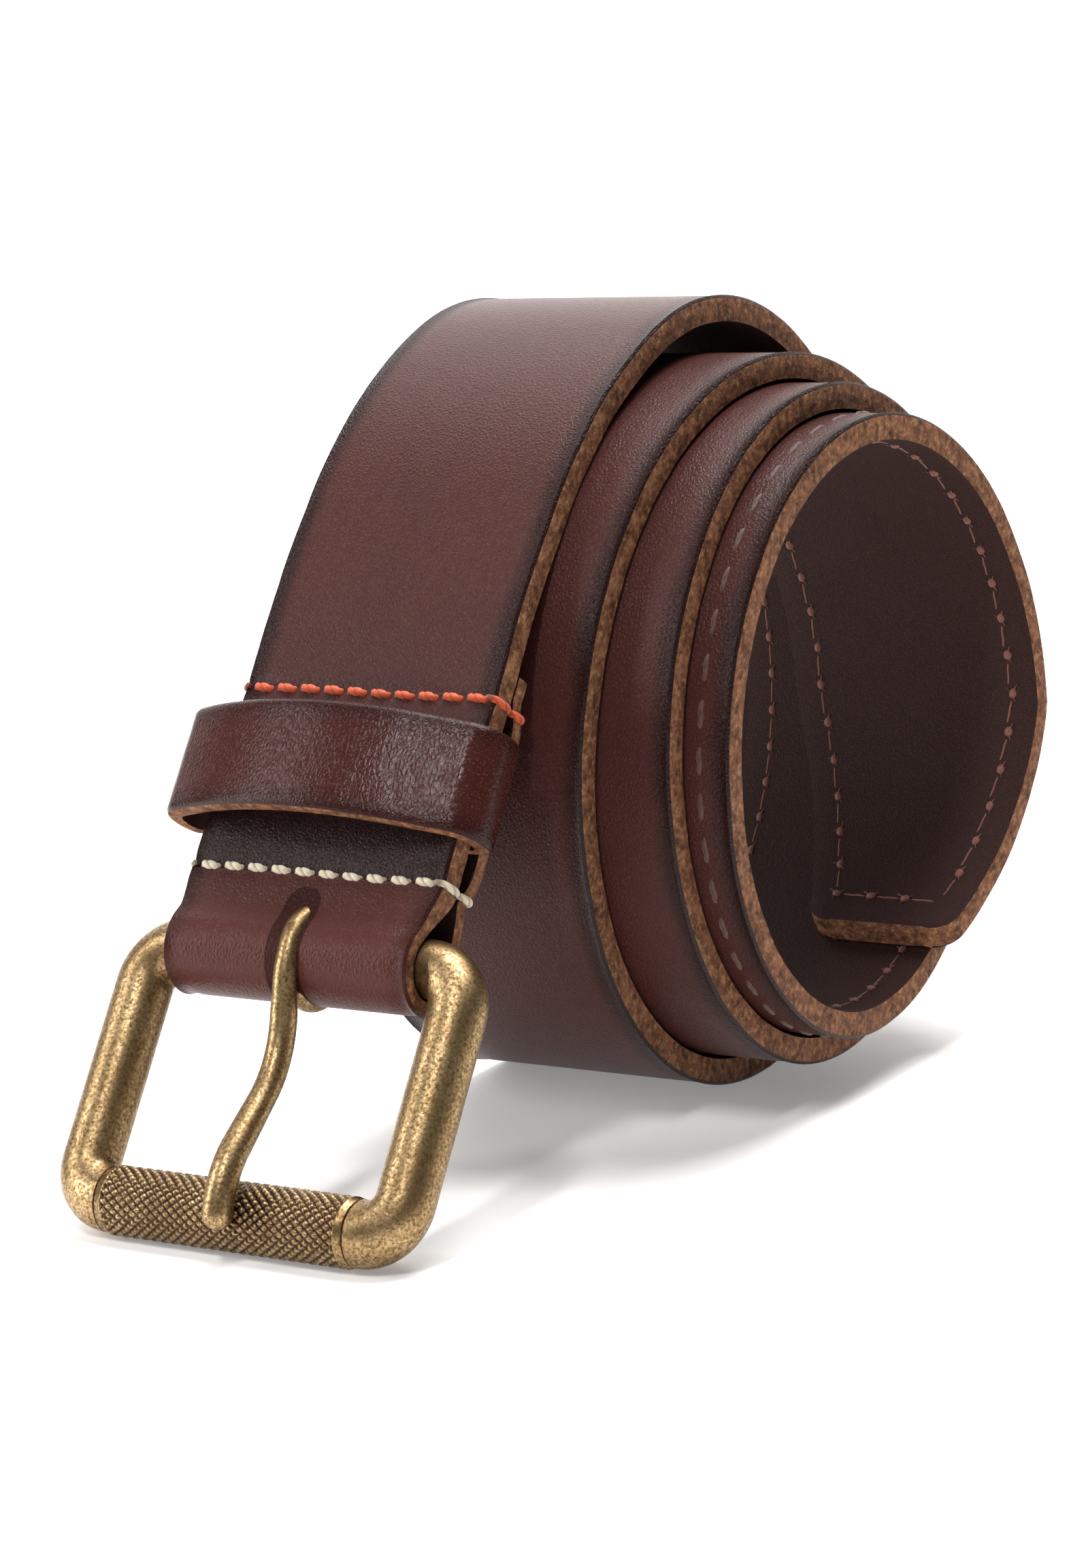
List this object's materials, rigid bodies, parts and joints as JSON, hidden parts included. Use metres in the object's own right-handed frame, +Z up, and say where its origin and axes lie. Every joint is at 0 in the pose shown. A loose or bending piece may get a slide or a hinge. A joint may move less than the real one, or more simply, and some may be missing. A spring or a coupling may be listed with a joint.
{
  "type": "leather belt",
  "caption": "Leather belt with a knurled roller buckle, keeper loop and stitched tail, coiled and standing on its coil and its roller.",
  "frame": {"origin": "on the surface it stands on, under the middle of the whole belt", "axes": "+X across the strap, from the buckle's left side towards the strap's inner turns; +Y from the buckle to the back of the coil; +Z up"},
  "size_m": [0.0806, 0.1576, 0.1115],
  "materials": {
    "strap_leather": "waxed full-grain, raw suede-brown cut edges",
    "keeper_leather": "waxed full-grain, glossier than the strap",
    "staple_steel": "plated wire",
    "frame_brass": "antiqued, burnished on the high spots",
    "roller_brass": "antiqued, diamond knurled with a dark patina in the valleys",
    "tongue_brass": "antiqued, burnished",
    "orange_thread": "waxed twisted thread",
    "pale_thread": "waxed twisted thread",
    "brown_thread": "waxed twisted thread"
  },
  "bodies": {
    "strap": {"strap": "strap_leather", "orange_top_thread": "orange_thread", "orange_under_thread": "orange_thread", "pale_top_thread": "pale_thread", "pale_under_thread": "pale_thread", "tail_top_thread": "brown_thread", "tail_under_thread": "brown_thread"},
    "frame": {"buckle_frame": "frame_brass"},
    "roller": {"buckle_roller": "roller_brass"},
    "tongue": {"buckle_tongue": "tongue_brass"},
    "keeper": {"keeper_loop": "keeper_leather", "keeper_staple": "staple_steel"}
  },
  "joints": [
    {"name": "frame_swing", "type": "hinge", "parent": "strap", "child": "frame", "pos_m": [-0.0116, -0.05012, 0.03368], "axis": [1, 0, 0], "range_deg": [-20, 75]},
    {"name": "tongue_pivot", "type": "hinge", "parent": "frame", "child": "tongue", "pos_m": [-0.0116, -0.05012, 0.03368], "axis": [-1, 0, 0], "range_deg": [0, 92]},
    {"name": "roller_spin", "type": "hinge", "parent": "frame", "child": "roller", "pos_m": [-0.0116, -0.07013, 0.0046], "axis": [1, 0, 0], "continuous": true},
    {"name": "keeper_slide", "type": "slide", "parent": "strap", "child": "keeper", "axis": [0, -0.5678, -0.8231], "range_m": [-0.002, 0.003]}
  ]
}
